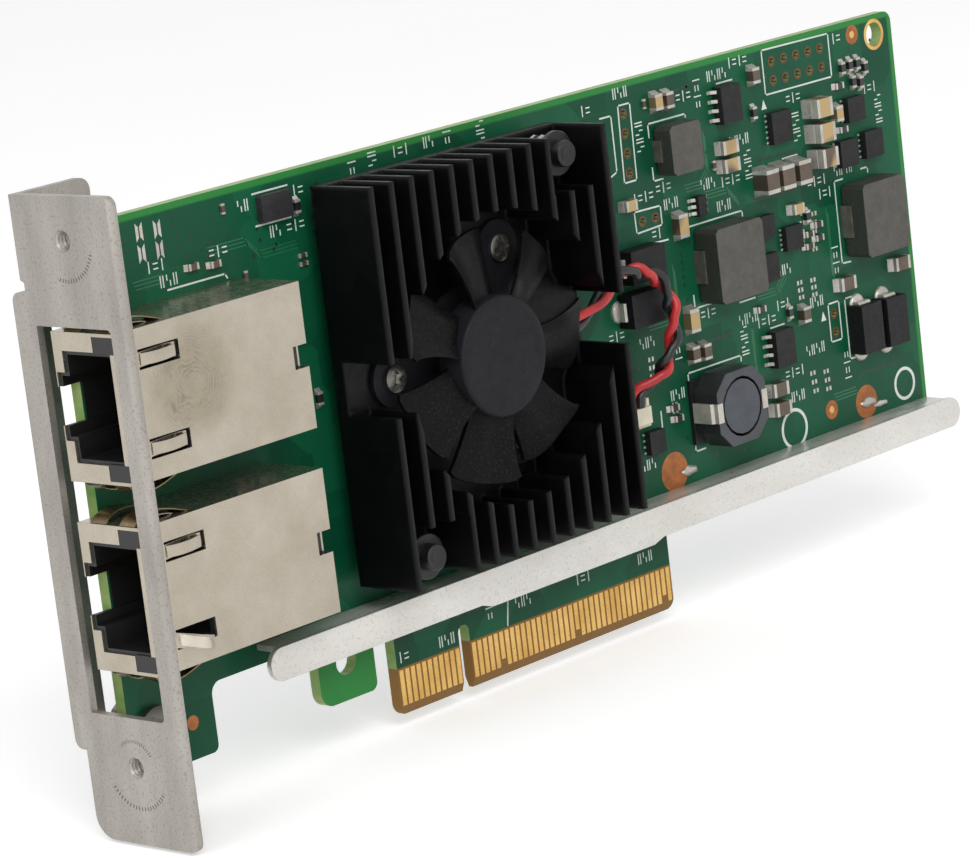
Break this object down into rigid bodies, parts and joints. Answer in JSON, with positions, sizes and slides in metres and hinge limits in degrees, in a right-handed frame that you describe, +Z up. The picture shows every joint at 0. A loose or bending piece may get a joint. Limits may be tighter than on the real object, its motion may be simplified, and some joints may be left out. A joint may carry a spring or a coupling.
{
  "type": "network interface card",
  "caption": "Low-profile network interface card with an edge connector, shielded network jacks in a steel bracket, and a finned heatsink with a recessed fan.",
  "frame": {"origin": "datum of the edge connector: centre of its key, at the lower edge of the contact tongue, half way through the board", "axes": "+X along the card away from the bracket, -Y out of the component side, +Z up, away from the slot"},
  "size_m": [0.1566, 0.0184, 0.0751],
  "materials": {
    "board": "glossy solder resist",
    "gold": "plated",
    "bracket_steel": "satin plated",
    "shield_steel": "tinned",
    "screw_steel": "plated",
    "tin": "solder plated",
    "black_aluminium": "black anodised",
    "fan_plastic": "moulded",
    "pin_plastic": "moulded",
    "insert_plastic": "moulded",
    "chip_epoxy": "moulded",
    "pad_grey": "soft",
    "steel": "ground",
    "bronze": "sintered",
    "magnet": "bonded ferrite",
    "core_steel": "laminated",
    "copper": "enamelled wire",
    "wire_red": "insulation",
    "wire_black": "insulation",
    "cream_plastic": "moulded",
    "bar_steel": "bright plated",
    "ceramic": "fired",
    "resistor_black": "glazed",
    "crystal_can": "drawn can",
    "inductor_grey": "pressed powder",
    "ferrite": "fired ferrite",
    "lamp_guide": "clear moulded",
    "tantalum": "moulded",
    "drum_base": "moulded"
  },
  "bodies": {
    "card": {"circuit_board": "board", "edge_contacts": "gold", "bracket": "bracket_steel", "bracket_screws": "screw_steel", "heatsink": "black_aluminium", "controller_chip": "chip_epoxy", "thermal_pad": "pad_grey", "push_pins": "pin_plastic", "push_pin_springs": "steel", "fan_base": "fan_plastic", "fan_bearing": "bronze", "fan_screws": "screw_steel", "fan_armature": "core_steel", "fan_coils": "copper", "fan_circuit": "board", "fan_lead_red": "wire_red", "fan_lead_black": "wire_black", "fan_plug": "cream_plastic", "fan_socket": "cream_plastic", "stiffener_bar": "bar_steel", "ceramic_capacitors": "ceramic", "capacitor_ends": "tin", "chip_resistors": "resistor_black", "leadless_chips": "chip_epoxy", "leaded_chips": "chip_epoxy", "chip_leads": "tin", "crystal": "crystal_can", "moulded_inductors": "inductor_grey", "inductor_straps": "tin", "drum_shield": "ferrite", "drum_core": "ferrite", "drum_winding": "copper", "drum_base": "drum_base", "drum_straps": "tin", "tantalum_capacitors": "tantalum", "tantalum_straps": "tin", "jack_1_shell": "shield_steel", "jack_1_insert": "insert_plastic", "jack_1_contacts": "gold", "jack_1_lamps": "lamp_guide", "jack_1_legs": "tin", "jack_2_shell": "shield_steel", "jack_2_insert": "insert_plastic", "jack_2_contacts": "gold", "jack_2_lamps": "lamp_guide", "jack_2_legs": "tin"},
    "rotor": {"fan_rotor": "fan_plastic", "fan_magnet": "magnet", "fan_shaft": "steel"}
  },
  "joints": [
    {"name": "fan_spin", "type": "hinge", "parent": "card", "child": "rotor", "pos_m": [0.0024, 0, 0.0422], "axis": [0, 1, 0], "continuous": true}
  ]
}
